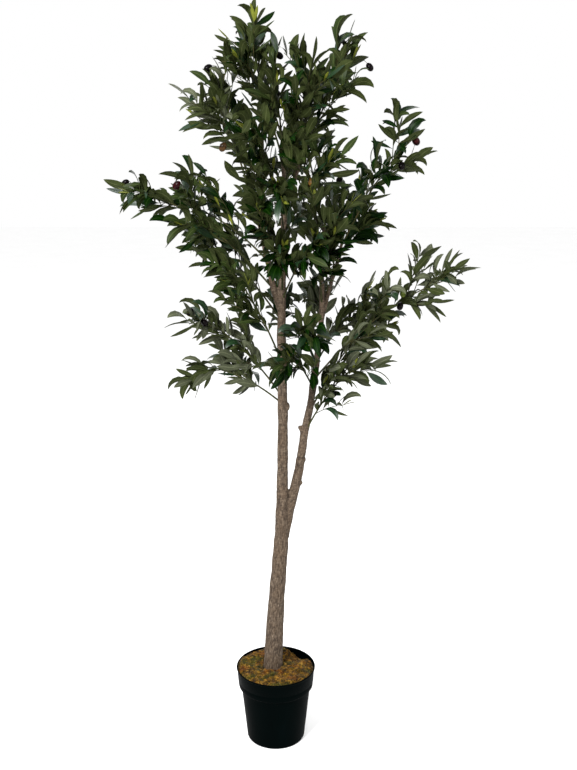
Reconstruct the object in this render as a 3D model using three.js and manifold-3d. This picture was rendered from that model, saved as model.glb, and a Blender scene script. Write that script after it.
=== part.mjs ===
// Artificial olive tree in a black nursery pot, 1.8 m tall.
// Millimetres, +Z up. The origin is the middle of the pot's flat underside.
// The photograph's view looks along +Y, so +X is the right of the picture.
import * as THREE from 'three';
import { mergeVertices } from 'three/addons/utils/BufferGeometryUtils.js';
import Module from 'manifold-3d';

const wasm = await Module();
wasm.setup();

// Driving dimensions
const GAP = 0.3;                 // clearance between touching pieces
const ROOM_GAP = 0.35;           // the same round a limb's flat sides
const POT = {
  height: 196,
  baseRadius: 73,
  baseEdge: 4,                   // rounded edge of the foot
  shoulderRadius: 87.5,          // top of the tapered body
  shoulderHeight: 140,
  bandRadius: 94.5,              // foot of the band below the rim
  bandHeight: 146,
  rimRadius: 100,
  lip: 4,                        // height of the rolled lip at the top
  lipOut: 1.5,
  wall: 2.5,
  floor: 4,
  segments: 28,
};
const FILL_TOP = 150;            // top of the cast block in the pot
const FOOT_HEIGHT = 112;         // flat cut of the trunk, down in the block
const MOSS = {
  height: 191,                   // mean top of the moss
  crown: 7,                      // extra height round the trunk
  lumps: 2.4,                    // height of the lumps
  dipAngle: 48,                  // degrees, low place at the back right
  dipWidth: 0.37,                // radians
  dipDepth: 23,
  heapAngle: 112,                // degrees, where the moss is heaped up to the rim
  heap: 4.5,
  skirt: 22,                     // from the mean top down to where the moss meets the pot
  rings: [0.93, 0.7, 0.4, 0],    // rings of the top, parts of its radius
};

// Limbs: stations from the foot up, each [x, y, height, diameter]
const LIMBS = {
  trunk: [
    [-9, 0, FOOT_HEIGHT, 51], [-7, 0, 199, 48.5], [2.5, -3, 377, 41], [9.5, -5, 472, 38],
    [14.5, -6, 539, 36.5], [17, -3, 650, 28.5], [18.7, 2, 770, 26], [18.8, 4, 862, 25],
    [16, 1, 1100, 20.2], [20.5, -1, 1260, 16], [23, -3, 1355, 12.5], [20, -5, 1500, 8],
  ],
  bough_left: [
    [14, 1, 1112, 15], [-2, -2, 1165, 16], [-18, -6, 1245, 14], [-39, -10, 1339, 11],
    [-56, -12, 1388, 8],
  ],
  bough_right: [
    [21.5, -1, 548, 25], [30.7, 0, 600, 25], [45, 3, 664, 25], [58.7, 6, 725, 23],
    [67.5, 9, 786, 21], [71.2, 10, 816, 19.5], [81, 10, 861, 18], [94, 10, 950, 17.5],
    [109, 4, 1089, 14], [109, -8, 1200, 11], [112, -18, 1310, 8],
  ],
  bough_outer: [[104, 4, 1062, 11], [125, 13, 1155, 11.5], [142, 21, 1209, 10], [156, 28, 1265, 7.5]],
  bough_centre: [[22, -2, 1318, 9], [38, -4, 1384, 9.5], [56, -8, 1440, 8.5], [70, -10, 1490, 7]],
};
// Each bough is cut clear of the limb that carries it
const CARRIED_BY = {
  bough_left: 'trunk',
  bough_right: 'trunk',
  bough_outer: 'bough_right',
  bough_centre: 'trunk',
};
const LIMB_SIDES = 10;
const RING_STEP = 64;            // spacing of the rings along a limb

// Stubs of pruned twigs: limb, height, azimuth, rise in degrees, length out of the bark, diameter
const STUBS = [
  { limb: 'bough_right', height: 668, azimuth: -8, rise: 52, length: 17, diameter: 9.5 },
  { limb: 'bough_right', height: 806, azimuth: 172, rise: 64, length: 14.5, diameter: 10 },
];
const STUB_SIDES = 8;
const KNOB = { height: 881, azimuth: -12, out: 10.5, width: 14, tall: 22 };

// Sprays of foliage: limb, height of the root on it, azimuth in degrees, reach outward and
// rise to the tip of the last leaf, and turn of its twigs about the stem in degrees
const SPRAYS = {
  low_left_high: ['trunk', 903, 179, 249, 212, 270],
  low_left_low: ['trunk', 886, 163, 270, 70, 200],
  mid_left: ['trunk', 987, 212, 176, 261, 40],
  mid_left_back: ['trunk', 1045, 93, 183, 79, 240],
  left_arm_low: ['trunk', 1087, 164, 269, 218, 170],
  left_arm: ['bough_left', 1161, 184, 372, 240, 340],
  left_arm_high: ['bough_left', 1228, 167, 261, 130, 70],
  upper_left: ['bough_left', 1387, 204, 117, 252, 0],
  upper_left_high: ['bough_left', 1340, 150, 130, 303, 280],
  upper_left_front: ['bough_left', 1289, 273, 183, 259, 120],
  upper_left_back: ['bough_left', 1247, 97, 238, 212, 110],
  top_left: ['trunk', 1449, 206, 123, 255, 210],
  top: ['trunk', 1499, 177, 120, 245, 220],
  top_right: ['bough_centre', 1487, 284, 60, 204, 230],
  top_back: ['trunk', 1478, 101, 160, 174, 90],
  crown_front: ['trunk', 1388, 280, 195, 118, 270],
  crown_back: ['trunk', 1351, 81, 239, 170, 90],
  heart_front: ['trunk', 1288, 266, 249, 125, 120],
  heart_front_low: ['trunk', 1190, 252, 233, 191, 270],
  heart_low: ['trunk', 1133, 302, 192, 170, 280],
  heart_back: ['trunk', 1250, 81, 246, 63, 80],
  far_top_right: ['bough_centre', 1428, 10, 158, 278, 40],
  upper_right: ['bough_centre', 1394, 298, 100, 264, 200],
  upper_right_back: ['bough_right', 1298, 112, 216, 298, 290],
  right_front: ['bough_right', 1218, 257, 235, 269, 290],
  right_back: ['bough_outer', 1186, 81, 234, 206, 260],
  right_arm: ['bough_outer', 1256, 353, 197, 272, 0],
  right_arm_low: ['bough_outer', 1232, 27, 119, 114, 30],
  right_side: ['bough_outer', 1147, 264, 177, 203, 220],
  right_low: ['bough_right', 1064, 99, 136, 90, 340],
  between: ['bough_right', 1012, 247, 204, 62, 60],
  far_right: ['bough_right', 945, 357, 384, 257, 190],
  mid_right: ['bough_right', 858, 6, 200, 262, 160],
  low_right: ['bough_right', 810, 330, 172, 206, 240],
  mid_right_back: ['bough_right', 985, 43, 198, 132, 320],
  heart_mid: ['trunk', 1151, 274, 145, 142, 90],
  heart_mid_left: ['trunk', 1222, 250, 171, 131, 290],
  heart_mid_right: ['bough_right', 1124, 261, 156, 190, 280],
  between_low: ['bough_right', 924, 242, 177, 116, 330],
};
const GROWTH = {
  arch: 0.12,                    // rise of the stem above its chord, part of its length
  stemRadius: 3.4,
  stemTipRadius: 2.2,
  bendStep: 75,                  // length of stem for each straight stretch
  twigSpacing: 96,               // length of stem for each side twig
  firstTwig: 0.3,
  lastTwig: 0.88,
  twigAngle: 44,
  twigShare: 0.36,               // length of the first twig, part of the stem's length
  twigLess: 0.16,                // how much shorter the last one is
  twigLeast: 24,
  twigReach: 290,                // stems longer than this have no longer twigs
  twigSize: 0.3,                 // part by which lengths differ
  twigRadius: 1.35,
  twigTipRadius: 1.1,
  twigLift: 0.16,                // upward lean of a twig, part of its length
  turn: 137.5,                   // degrees from one twig to the next round the stem
  checks: [0.35, 0.7, 1],        // places along a twig that are tested
  tries: 7,                      // each try turns by tryTurn radians and is smaller by tryLess
  tryTurn: 0.9,
  tryLess: 0.08,
  clear: 1.0,                    // from the border of the neighbour's space
  limbClear: 3,
};
const LEAF = {
  length: 78,
  width: 20,
  thickness: 1.4,
  overWood: 0.9,                 // part of the last leaf that lies past the wood's end
  last: 0.99,                    // place of the last leaf along its twig
  lastSpread: 0.1,
  sunk: 0.5,                     // depth of the leaf's root below the twig's middle
  spread: 46,                    // degrees from the twig
  twigPairs: [0.4, 0.74],        // places of the pairs along a twig; only one in four has the first
  stemPairs: [0.93],             // and along the stem's wood
  turn: 1.3,                     // radians from one pair to the next
  stray: 0.5,                    // range of the turn from that place, in radians
  tilt: [0.4, 1.15],             // the blade's turn about its length, in radians to either side
  droop: [-0.2, 0.55],           // downward lean of a leaf for each radian from its twig
  size: 0.3,                     // part by which lengths differ
};
const OLIVE = { length: 19, diameter: 15, stalkRadius: 0.9 };
// Middles of the olives: x, y, height. The first fourteen show from the front
const OLIVES = [
  [-142, -28, 1650], [12, 2, 1678], [211, 7, 1654], [320, 26, 1496], [-332, -22, 1405],
  [-215, -41, 1401], [-102, -191, 1486], [81, -172, 1414], [286, -5, 1442], [-154, 29, 1241],
  [-194, -31, 1115], [-160, -47, 1093], [289, -24, 1127], [296, -16, 1156], [49, 148, 1432],
  [-30, 188, 1416], [-72, 159, 1349], [157, 194, 1402], [201, 107, 1050], [7, 109, 1600],
];

const UP = new THREE.Vector3(0, 0, 1);
const radians = THREE.MathUtils.degToRad;
const { lerp } = THREE.MathUtils;

// Solids
function solidOf(geometry) {
  const bare = geometry.clone();
  bare.deleteAttribute('normal');
  bare.deleteAttribute('uv');
  const merged = mergeVertices(bare, 1e-4);
  return new wasm.Manifold(new wasm.Mesh({
    numProp: 3,
    vertProperties: new Float32Array(merged.attributes.position.array),
    triVerts: new Uint32Array(merged.index.array),
  }));
}

function geometryOf(solid) {
  const { vertProperties, triVerts } = solid.getMesh();
  const geometry = new THREE.BufferGeometry();
  geometry.setAttribute('position', new THREE.BufferAttribute(vertProperties, 3));
  geometry.setIndex(new THREE.BufferAttribute(triVerts, 1));
  geometry.computeVertexNormals();
  return geometry;
}

// The main body of a solid, without loose scraps or sealed hollows
function mainBody(solid) {
  const bodies = solid.decompose();
  return bodies.reduce((main, body) => (body.volume() > main.volume() ? body : main));
}

// A round or faceted tube along a curve; radiusAt takes the part of the length
function tube(curve, radiusAt, sides, rings) {
  const geometry = new THREE.CylinderGeometry(1, 1, 1, sides, rings);
  const frames = curve.computeFrenetFrames(rings);
  const place = geometry.attributes.position;
  for (let i = 0; i < place.count; i += 1) {
    const along = place.getY(i) + 0.5;
    const ring = Math.round(along * rings);
    const radius = radiusAt(along);
    const point = curve.getPointAt(along)
      .addScaledVector(frames.binormals[ring], place.getX(i) * radius)
      .addScaledVector(frames.normals[ring], place.getZ(i) * radius);
    place.setXYZ(i, point.x, point.y, point.z);
  }
  return geometry;
}

// A profile turned about the pot's axis, its points [radius, height] from the axis back to it
function turned(profile) {
  const points = profile.map(([radius, height]) => new THREE.Vector2(radius, height));
  return new THREE.LatheGeometry(points, POT.segments).rotateX(Math.PI / 2);
}

// Limbs
const limbCurves = Object.fromEntries(Object.entries(LIMBS).map(([name, stations]) => [
  name,
  new THREE.CatmullRomCurve3(stations.map(([x, y, height]) => new THREE.Vector3(x, y, height))),
]));

function limbRadius(name, height) {
  const stations = LIMBS[name];
  const next = stations.findIndex((station) => station[2] > height);
  if (next === 0) {
    return stations[0][3] / 2;
  }
  if (next < 0) {
    return stations.at(-1)[3] / 2;
  }
  const [low, high] = [stations[next - 1], stations[next]];
  const part = (height - low[2]) / (high[2] - low[2]);
  return lerp(low[3], high[3], part) / 2;
}

function limbPoint(name, height) {
  const curve = limbCurves[name];
  let [low, high] = [0, 1];
  for (let step = 0; step < 30; step += 1) {
    const middle = (low + high) / 2;
    if (curve.getPoint(middle).z < height) {
      low = middle;
    } else {
      high = middle;
    }
  }
  return curve.getPoint(low);
}

function limbSolid(name, extra = 0) {
  const curve = limbCurves[name];
  const rings = Math.round(curve.getLength() / RING_STEP);
  const radiusAt = (along) => limbRadius(name, curve.getPointAt(along).z) + extra;
  return solidOf(tube(curve, radiusAt, LIMB_SIDES, rings));
}

// Room that a limb takes, with the clearance round it and past its tip
function limbRoom(name) {
  const tip = limbCurves[name].getPoint(1);
  const end = limbCurves[name].getTangent(1);
  const cap = new THREE.LineCurve3(
    tip.clone().addScaledVector(end, -1),
    tip.clone().addScaledVector(end, ROOM_GAP),
  );
  const radius = LIMBS[name].at(-1)[3] / 2 + ROOM_GAP;
  return limbSolid(name, ROOM_GAP).add(solidOf(tube(cap, () => radius, LIMB_SIDES, 1)));
}

function stubSolid({ limb, height, azimuth, rise, length, diameter }) {
  const start = limbPoint(limb, height);
  const out = directionOf(azimuth, rise);
  const end = start.clone().addScaledVector(out, limbRadius(limb, height) + length);
  return solidOf(tube(new THREE.LineCurve3(start, end), () => diameter / 2, STUB_SIDES, 1));
}

function knobSolid() {
  const out = directionOf(KNOB.azimuth, 0);
  const middle = limbPoint('trunk', KNOB.height)
    .addScaledVector(out, limbRadius('trunk', KNOB.height) - KNOB.width / 2 + KNOB.out / 2);
  const geometry = new THREE.SphereGeometry(1, STUB_SIDES, 6).rotateX(Math.PI / 2);
  geometry.scale(KNOB.width / 2, KNOB.width / 2, KNOB.tall / 2);
  return solidOf(geometry.translate(middle.x, middle.y, middle.z));
}

function directionOf(azimuth, rise) {
  const flat = Math.cos(radians(rise));
  return new THREE.Vector3(
    flat * Math.cos(radians(azimuth)),
    flat * Math.sin(radians(azimuth)),
    Math.sin(radians(rise)),
  );
}

// Seeded numbers from 0 to 1, the same on every run
function seeded(seed) {
  let state = seed >>> 0;
  return () => {
    state = (state + 0x6d2b79f5) >>> 0;
    let mixed = Math.imul(state ^ (state >>> 15), state | 1);
    mixed = (mixed + Math.imul(mixed ^ (mixed >>> 7), mixed | 61)) ^ mixed;
    return ((mixed ^ (mixed >>> 14)) >>> 0) / 4294967296;
  };
}

// The direction that leaves a line at an angle, turned round it by roll
function leaning(line, angle, roll) {
  const side = new THREE.Vector3().crossVectors(UP, line);
  if (side.lengthSq() < 1e-6) {
    side.set(1, 0, 0);
  }
  side.normalize();
  const over = new THREE.Vector3().crossVectors(line, side);
  return line.clone().multiplyScalar(Math.cos(angle))
    .addScaledVector(side, Math.sin(angle) * Math.cos(roll))
    .addScaledVector(over, Math.sin(angle) * Math.sin(roll));
}

// Stems: an arch from the limb to the tip of the last leaf, its wood ending where that leaf starts
function arch(root, tip, length, woodEnd) {
  const top = root.clone().lerp(tip, 0.5).addScaledVector(UP, 2 * GROWTH.arch * length);
  const first = root.clone().lerp(top, woodEnd);
  const second = top.clone().lerp(tip, woodEnd);
  return new THREE.QuadraticBezierCurve3(root, first, first.clone().lerp(second, woodEnd));
}

const sprays = Object.entries(SPRAYS).map(([name, [limb, height, azimuth, reach, rise, turn]], index) => {
  const root = limbPoint(limb, height);
  const tip = root.clone().addScaledVector(directionOf(azimuth, 0), reach).addScaledVector(UP, rise);
  const length = root.distanceTo(tip);
  const stem = arch(root, tip, length, 1 - (LEAF.overWood * LEAF.length) / length);
  const wood = stem.getSpacedPoints(Math.round(length / GROWTH.bendStep));
  const line = [...wood, tip];
  return { name, length, stem, wood, line, turn: radians(turn), seed: 1000 * (index + 1) };
});

// The point and direction at a part of the way along a line of points
function alongLine(line, part) {
  const place = part * (line.length - 1);
  const start = Math.min(Math.floor(place), line.length - 2);
  return {
    point: line[start].clone().lerp(line[start + 1], place - start),
    direction: line[start + 1].clone().sub(line[start]).normalize(),
  };
}

function nearestOnLine(point, line) {
  const feet = line.slice(1).map((end, i) => new THREE.Line3(line[i], end)
    .closestPointToPoint(point, true, new THREE.Vector3()));
  return nearestOf(point, feet);
}

function nearestOf(point, places) {
  return places.reduce((best, place) => (
    place.distanceTo(point) < best.distanceTo(point) ? place : best));
}

function distanceToLine(point, line) {
  return nearestOnLine(point, line).distanceTo(point);
}

const limbLines = Object.keys(LIMBS).map((name) => ({
  name,
  line: limbCurves[name].getPoints(40),
}));

// A point is in a spray's own space when it is nearer to that stem than to any other
function inOwnSpace(point, spray) {
  const own = distanceToLine(point, spray.line);
  return sprays.every((other) => other === spray
    || distanceToLine(point, other.line) - own > 2 * GROWTH.clear);
}

function clearOfLimbs(point) {
  return limbLines.every(({ name, line }) => distanceToLine(point, line)
    > limbRadius(name, point.z) + GROWTH.limbClear);
}

function fits(points, spray) {
  return points.every((point) => inOwnSpace(point, spray) && clearOfLimbs(point));
}

// A leaf's frame: root, direction, blade normal and length
function leafAt(root, line, roll, spread, random) {
  const along = leaning(line, spread, roll)
    .addScaledVector(UP, -lerp(...LEAF.droop, random()) * spread)
    .normalize();
  const normal = UP.clone().addScaledVector(along, -UP.dot(along)).normalize();
  const side = 2 * random() - 1;
  normal.applyAxisAngle(along, Math.sign(side) * lerp(...LEAF.tilt, Math.abs(side)));
  const length = LEAF.length * (1 - LEAF.size * random());
  return { root, along, normal, length };
}

function leafCorners({ root, along, normal, length }) {
  const across = new THREE.Vector3().crossVectors(normal, along);
  const middle = root.clone().addScaledVector(along, length / 2);
  return [
    root.clone().addScaledVector(along, length),
    root.clone().addScaledVector(along, length * 0.75),
    middle.clone().addScaledVector(across, LEAF.width / 2),
    middle.clone().addScaledVector(across, -LEAF.width / 2),
  ];
}

// A blade one unit each way: root, tip, two sides and the keel, flat above
const BLADE_CORNERS = [-1, 0, 0, 1, 0, 0, 0, 1, 0, 0, -1, 0, 0, 0, -1];
const BLADE_FACES = [0, 3, 2, 1, 2, 3, 0, 2, 4, 2, 1, 4, 1, 3, 4, 3, 0, 4];

function leafSolid({ root, along, normal, length }) {
  const across = new THREE.Vector3().crossVectors(normal, along);
  const blade = new THREE.PolyhedronGeometry(BLADE_CORNERS, BLADE_FACES, 1, 0);
  const whole = length + LEAF.sunk;
  blade.scale(whole / 2, LEAF.width / 2, LEAF.thickness);
  blade.translate(whole / 2 - LEAF.sunk, 0, 0);
  blade.applyMatrix4(new THREE.Matrix4().makeBasis(along, across, normal).setPosition(root));
  return solidOf(blade);
}

// The first of several seeded tries that fits the spray's own space
function firstFit(spray, make, pointsOf) {
  for (let attempt = 0; attempt < GROWTH.tries; attempt += 1) {
    const found = make(attempt);
    if (fits(pointsOf(found), spray)) {
      return [found];
    }
  }
  return [];
}

function growTwig(spray, part, number) {
  const random = seeded(spray.seed + number);
  const { point, direction } = alongLine(spray.wood, part);
  const size = 1 + GROWTH.twigSize * (random() - 0.5);
  const length = GROWTH.twigLeast
    + size * Math.min(spray.length, GROWTH.twigReach) * (GROWTH.twigShare - GROWTH.twigLess * part);
  const firstRoll = radians(number * GROWTH.turn) + spray.turn + random();
  const make = (attempt) => {
    const less = 1 - GROWTH.tryLess * attempt;
    const out = leaning(direction, radians(GROWTH.twigAngle) * less, firstRoll + attempt * GROWTH.tryTurn)
      .addScaledVector(UP, GROWTH.twigLift);
    return [point, point.clone().addScaledVector(out, length * less)];
  };
  const pointsOf = (twig) => GROWTH.checks.map((place) => alongLine(twig, place).point);
  return firstFit(spray, make, pointsOf);
}

// Leaves at one place on a twig or stem: a pair, or one that ends it
function growLeaves(spray, line, part, rolls, spread, number) {
  const { point, direction } = alongLine(line, part);
  return rolls.flatMap((roll, side) => {
    const random = seeded(spray.seed + 100 + 10 * number + side);
    const make = (attempt) => leafAt(
      point,
      direction,
      roll + (random() - 0.5) * LEAF.stray * (1 + attempt),
      spread * (1 - GROWTH.tryLess * attempt),
      random,
    );
    return firstFit(spray, make, leafCorners);
  });
}

function grow(spray) {
  const count = Math.round(spray.length / GROWTH.twigSpacing);
  const twigs = Array.from({ length: count }, (_, i) => {
    const part = lerp(GROWTH.firstTwig, GROWTH.lastTwig, (i + 0.5) / count);
    return growTwig(spray, part, i + 1);
  }).flat();
  const spread = radians(LEAF.spread);
  const leaves = [spray.wood, ...twigs].flatMap((line, i) => {
    const pairs = i === 0 ? LEAF.stemPairs : LEAF.twigPairs;
    const skipped = i === 0 || i % 4 === 2 ? 0 : 1;
    return [
      ...growLeaves(spray, line, LEAF.last, [0], LEAF.lastSpread, 4 * i),
      ...pairs.flatMap((part, pair) => {
        if (pair < skipped) {
          return [];
        }
        const roll = pair * LEAF.turn;
        return growLeaves(spray, line, part, [roll, roll + Math.PI], spread, 4 * i + pair + 1);
      }),
    ];
  });
  return { twigs, leaves };
}

function stickSolid([start, end], radius, endRadius) {
  return solidOf(tube(new THREE.LineCurve3(start, end), (part) => lerp(radius, endRadius, part), 3, 1));
}

// Olives
function oliveSolids(spray, twigs) {
  const owned = OLIVES.map((place) => new THREE.Vector3(...place))
    .filter((olive) => nearestSpray(olive) === spray);
  return owned.flatMap((olive) => {
    const lines = [spray.wood, ...twigs];
    const root = nearestOf(olive, lines.map((line) => nearestOnLine(olive, line)));
    const fruit = new THREE.SphereGeometry(1, 5, 3).rotateX(Math.PI / 2);
    fruit.scale(OLIVE.diameter / 2, OLIVE.diameter / 2, OLIVE.length / 2);
    fruit.translate(olive.x, olive.y, olive.z);
    return [solidOf(fruit), stickSolid([root, olive], OLIVE.stalkRadius, OLIVE.stalkRadius)];
  });
}

function nearestSpray(point) {
  const distances = sprays.map(({ line }) => distanceToLine(point, line));
  return sprays[distances.indexOf(Math.min(...distances))];
}

function spraySolid(spray) {
  const { twigs, leaves } = grow(spray);
  const stemRadius = (part) => lerp(GROWTH.stemRadius, GROWTH.stemTipRadius, part);
  return wasm.Manifold.union([
    solidOf(tube(spray.stem, stemRadius, 3, spray.wood.length - 1)),
    ...twigs.map((twig) => stickSolid(twig, GROWTH.twigRadius, GROWTH.twigTipRadius)),
    ...leaves.map(leafSolid),
    ...oliveSolids(spray, twigs),
  ]);
}

// Pot, block and moss
function potProfile() {
  const { height, baseRadius, baseEdge, wall, floor } = POT;
  const body = (POT.shoulderRadius - baseRadius) / POT.shoulderHeight;
  return [
    [0, 0],
    [baseRadius - baseEdge, 0],
    [baseRadius - 0.3 * baseEdge, 0.3 * baseEdge],
    [baseRadius + body * baseEdge, baseEdge],
    [POT.shoulderRadius, POT.shoulderHeight],
    [POT.bandRadius, POT.bandHeight],
    [POT.rimRadius - POT.lipOut, height - POT.lip],
    [POT.rimRadius, height - 0.6 * POT.lip],
    [POT.rimRadius - 0.4, height],
    [POT.rimRadius - wall - 0.4, height],
    [POT.bandRadius - wall, POT.bandHeight + 1],
    [POT.shoulderRadius - wall, POT.shoulderHeight + 1],
    [baseRadius - wall + body * floor, floor],
    [0, floor],
  ];
}

// Inside radius of the pot at a height above its floor
function insideRadius(height) {
  const { shoulderHeight, bandHeight, wall } = POT;
  if (height < shoulderHeight) {
    const part = height / shoulderHeight;
    return lerp(POT.baseRadius, POT.shoulderRadius, part) - wall;
  }
  const part = (height - bandHeight) / (POT.height - bandHeight);
  return lerp(POT.bandRadius, POT.rimRadius - 0.4, part) - wall;
}

function fillGeometry() {
  const bottom = POT.floor + GAP;
  const shoulder = POT.shoulderHeight - 1;
  return turned([
    [0, bottom],
    [insideRadius(bottom) - 2 * GAP, bottom],
    [insideRadius(shoulder) - 2 * GAP, shoulder],
    [insideRadius(shoulder) - 2 * GAP, FILL_TOP],
    [0, FILL_TOP],
  ]);
}

function mossTop(x, y) {
  const radius = Math.hypot(x, y);
  const angle = Math.atan2(y, x);
  const rim = radius / POT.rimRadius;
  const lumps = Math.sin(3 * angle + 0.05 * radius) + Math.cos(5 * angle - 0.09 * radius);
  const dip = Math.exp(-(((angle - radians(MOSS.dipAngle)) / MOSS.dipWidth) ** 2)) * rim ** 3;
  const heap = Math.max(0, Math.cos(angle - radians(MOSS.heapAngle))) * rim ** 2;
  const height = MOSS.height + MOSS.crown * (1 - rim) + MOSS.heap * heap;
  return height + MOSS.lumps * lumps * rim - MOSS.dipDepth * dip;
}

function mossGeometry() {
  const bottom = FILL_TOP + GAP;
  const edge = (height) => insideRadius(height) - 2 * GAP;
  const profile = [
    [0, bottom],
    [edge(bottom), bottom],
    [edge(MOSS.height - MOSS.skirt), MOSS.height - MOSS.skirt],
    ...MOSS.rings.map((part) => [part * edge(MOSS.height), MOSS.height]),
  ];
  const geometry = turned(profile);
  const place = geometry.attributes.position;
  for (let i = 0; i < place.count; i += 1) {
    if (place.getZ(i) === MOSS.height) {
      place.setZ(i, mossTop(place.getX(i), place.getY(i)));
    }
  }
  return geometry;
}

// The tree
const group = new THREE.Group();
group.name = 'artificial_olive_tree';

function addNode(name, geometry, color, roughness) {
  const mesh = new THREE.Mesh(geometry, new THREE.MeshStandardMaterial({ color, roughness }));
  mesh.name = name;
  group.add(mesh);
}

const limbRooms = Object.fromEntries(Object.keys(LIMBS).map((name) => [name, limbRoom(name)]));

function limbNode(name) {
  let solid = limbSolid(name);
  STUBS.filter(({ limb }) => limb === name).forEach((stub) => {
    solid = solid.add(stubSolid(stub));
  });
  if (name === 'trunk') {
    solid = solid.add(knobSolid());
  }
  const carrier = CARRIED_BY[name];
  return mainBody(carrier ? solid.subtract(limbRooms[carrier]) : solid);
}

function sprayNode(spray) {
  let solid = spraySolid(spray);
  Object.values(limbRooms).forEach((room) => {
    solid = solid.subtract(room);
  });
  return mainBody(solid);
}

addNode('pot', geometryOf(solidOf(turned(potProfile()))), 0x0b0c0c, 0.5);
addNode('fill', geometryOf(solidOf(fillGeometry()).subtract(limbRooms.trunk)), 0x8a8780, 0.95);
addNode('moss', geometryOf(solidOf(mossGeometry()).subtract(limbRooms.trunk)), 0x5e4213, 1);
Object.keys(LIMBS).forEach((name) => addNode(name, geometryOf(limbNode(name)), 0x7a6655, 0.85));
sprays.forEach((spray) => {
  addNode(`foliage_${spray.name}`, geometryOf(sprayNode(spray)), 0x4e5a35, 0.7);
});

export default group;
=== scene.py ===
import math
from math import cos, hypot, pi, radians, sin, sqrt
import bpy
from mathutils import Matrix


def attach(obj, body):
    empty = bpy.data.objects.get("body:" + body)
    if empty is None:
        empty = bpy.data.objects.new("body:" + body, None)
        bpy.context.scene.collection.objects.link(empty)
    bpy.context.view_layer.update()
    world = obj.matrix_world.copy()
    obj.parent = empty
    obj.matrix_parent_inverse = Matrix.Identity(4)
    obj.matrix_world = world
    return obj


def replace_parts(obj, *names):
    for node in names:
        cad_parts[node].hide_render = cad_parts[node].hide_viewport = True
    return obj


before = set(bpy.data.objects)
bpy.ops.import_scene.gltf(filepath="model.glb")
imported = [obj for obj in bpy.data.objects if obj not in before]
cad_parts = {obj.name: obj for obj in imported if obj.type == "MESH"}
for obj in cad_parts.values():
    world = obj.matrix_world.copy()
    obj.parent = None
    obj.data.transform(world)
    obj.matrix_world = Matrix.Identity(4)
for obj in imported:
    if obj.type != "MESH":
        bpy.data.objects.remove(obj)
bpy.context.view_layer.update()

from types import SimpleNamespace as Values

import bpy
import numpy as np
from mathutils import Vector, noise
from numpy.linalg import norm

# Artificial olive tree in a black nursery pot, dressed around its solids. Lengths are millimetres
# in the same frame, as in the part's source, and turn into metres where a mesh is made.
METRE = 0.001
IMAGE_HEIGHT = 770
CAMERA = Values(place=(0.0324, -2.30, 1.52), tilt=75.7, focal_pixels=1001)
SENSOR = 36.0

POT = Values(
    height=196, base_radius=73, shoulder_radius=87.5, shoulder_height=140, band_radius=94.5,
    band_height=146, rim_radius=100, wall=2.5, floor=4, segments=168,
)
FILL_TOP = 150
MOSS = Values(
    height=191, crown=7, lumps=2.4, dip_angle=48, dip_width=0.37, dip_depth=23, heap_angle=112,
    heap=4.5, skirt=22, rings=64, segments=190, margin=0.7, gap=0.4, tuft=(15, 3.1),
    fractal=(0.9, 2.1, 4), crumb=(4.6, 2.0), edge=(9, 2.5),
)
# Fibres over the moss: ranges of their step, lift and half thickness, and the room round the trunk
STRANDS = Values(
    count=1500, steps=5, least=4, edge=3, trunk=24.5, curl=1.5, step=(2.2, 5.0), lift=(0.4, 3.4),
    thick=(0.45, 1.25), sides=3,
)

# Limbs: stations from the foot up, each x, y, height, diameter
LIMBS = {
    "trunk": [
        (-9, 0, 112, 51), (-7, 0, 199, 48.5), (2.5, -3, 377, 41), (9.5, -5, 472, 38),
        (14.5, -6, 539, 36.5), (17, -3, 650, 28.5), (18.7, 2, 770, 26), (18.8, 4, 862, 25),
        (16, 1, 1100, 20.2), (20.5, -1, 1260, 16), (23, -3, 1355, 12.5), (20, -5, 1500, 8),
    ],
    "bough_left": [
        (14, 1, 1112, 15), (-2, -2, 1165, 16), (-18, -6, 1245, 14), (-39, -10, 1339, 11),
        (-56, -12, 1388, 8),
    ],
    "bough_right": [
        (21.5, -1, 548, 25), (30.7, 0, 600, 25), (45, 3, 664, 25), (58.7, 6, 725, 23),
        (67.5, 9, 786, 21), (71.2, 10, 816, 19.5), (81, 10, 861, 18), (94, 10, 950, 17.5),
        (109, 4, 1089, 14), (109, -8, 1200, 11), (112, -18, 1310, 8),
    ],
    "bough_outer": [
        (104, 4, 1062, 11), (125, 13, 1155, 11.5), (142, 21, 1209, 10), (156, 28, 1265, 7.5),
    ],
    "bough_centre": [
        (22, -2, 1318, 9), (38, -4, 1384, 9.5), (56, -8, 1440, 8.5), (70, -10, 1490, 7),
    ],
}
# Stubs of pruned twigs: limb, height, azimuth, rise, length out of the bark, diameter
STUBS = [
    ("bough_right", 668, -8, 52, 17, 9.5),
    ("bough_right", 806, 172, 64, 14.5, 10),
]
STUB_FLARE = 0.35
KNOB = Values(height=881, azimuth=-12, out=10.5, width=14, tall=22)
# Bark: the tubes it is made from, then its relief, each wavelength across the limb and along it,
# and each groove's steepness and depth
BARK = Values(
    sides=44, stub_sides=24, stub_rings=12, knob_rings=15, step=4, voxel=1.7, soften=(0.5, 3),
    wide=(5.2, 24), wide_groove=(5, 0.75), fine=(2.9, 10), fine_groove=(4, 0.4), lumps=(26, 34),
    furrow=0.95, lump=1.1, swell=0.35, apart=977, axis_points=120, beyond=4,
)
# The ring on the right bough and the groove above it: height, half height, how far out
RING = Values(limb="bough_right", height=745, half=4.5, out=2.6, inner=0.15)
GROOVE = Values(above=8, half=1.8, depth=0.8)

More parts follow.
